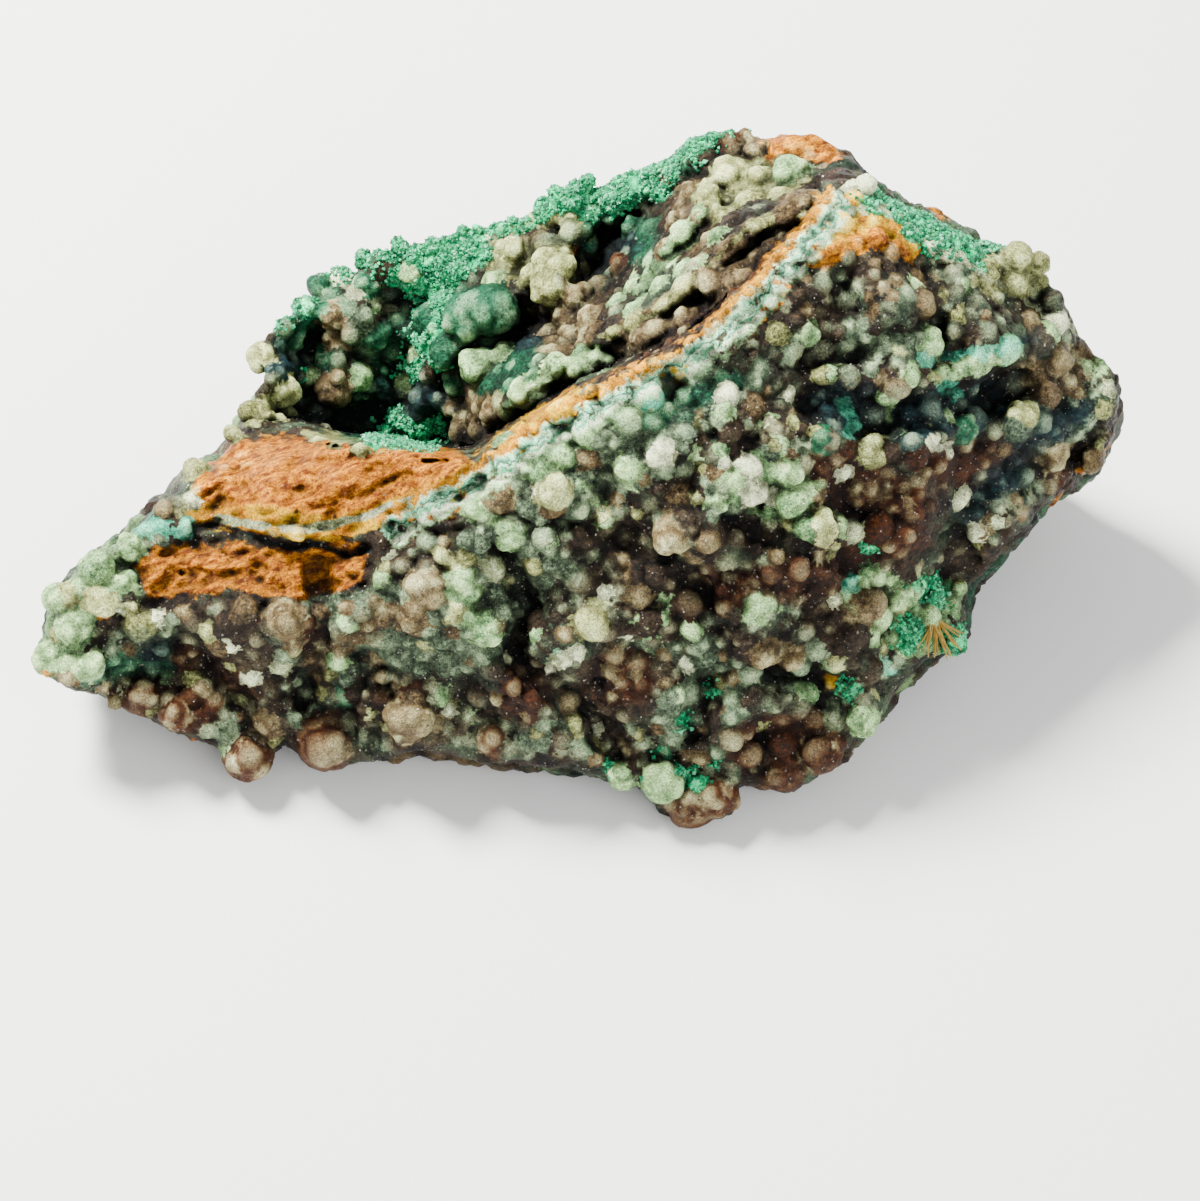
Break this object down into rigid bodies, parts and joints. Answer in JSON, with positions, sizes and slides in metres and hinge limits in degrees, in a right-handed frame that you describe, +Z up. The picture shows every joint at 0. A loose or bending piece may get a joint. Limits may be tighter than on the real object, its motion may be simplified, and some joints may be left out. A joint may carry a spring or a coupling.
{
  "type": "chrysoprase specimen",
  "caption": "Broken lump of green chalcedony with grape-like lumps, a sharp crest, thin ledges and a crusted hollow behind the crest. Rests on a flat break.",
  "frame": {"origin": "on the flat break that the stone rests on, below its middle", "axes": "+Z up from the flat break, +X along the length to the right tip, +Y from the broad front face towards the back rim"},
  "size_m": [0.1015, 0.0579, 0.0402],
  "materials": {
    "stone": "drusy and botryoidal chalcedony, satin, pale green tips and rusty hollows",
    "hollow_crust": "botryoidal chalcedony, satin, green and tan"
  },
  "bodies": {
    "root": {"stone": "stone", "hollow_crust": "hollow_crust"}
  },
  "joints": []
}
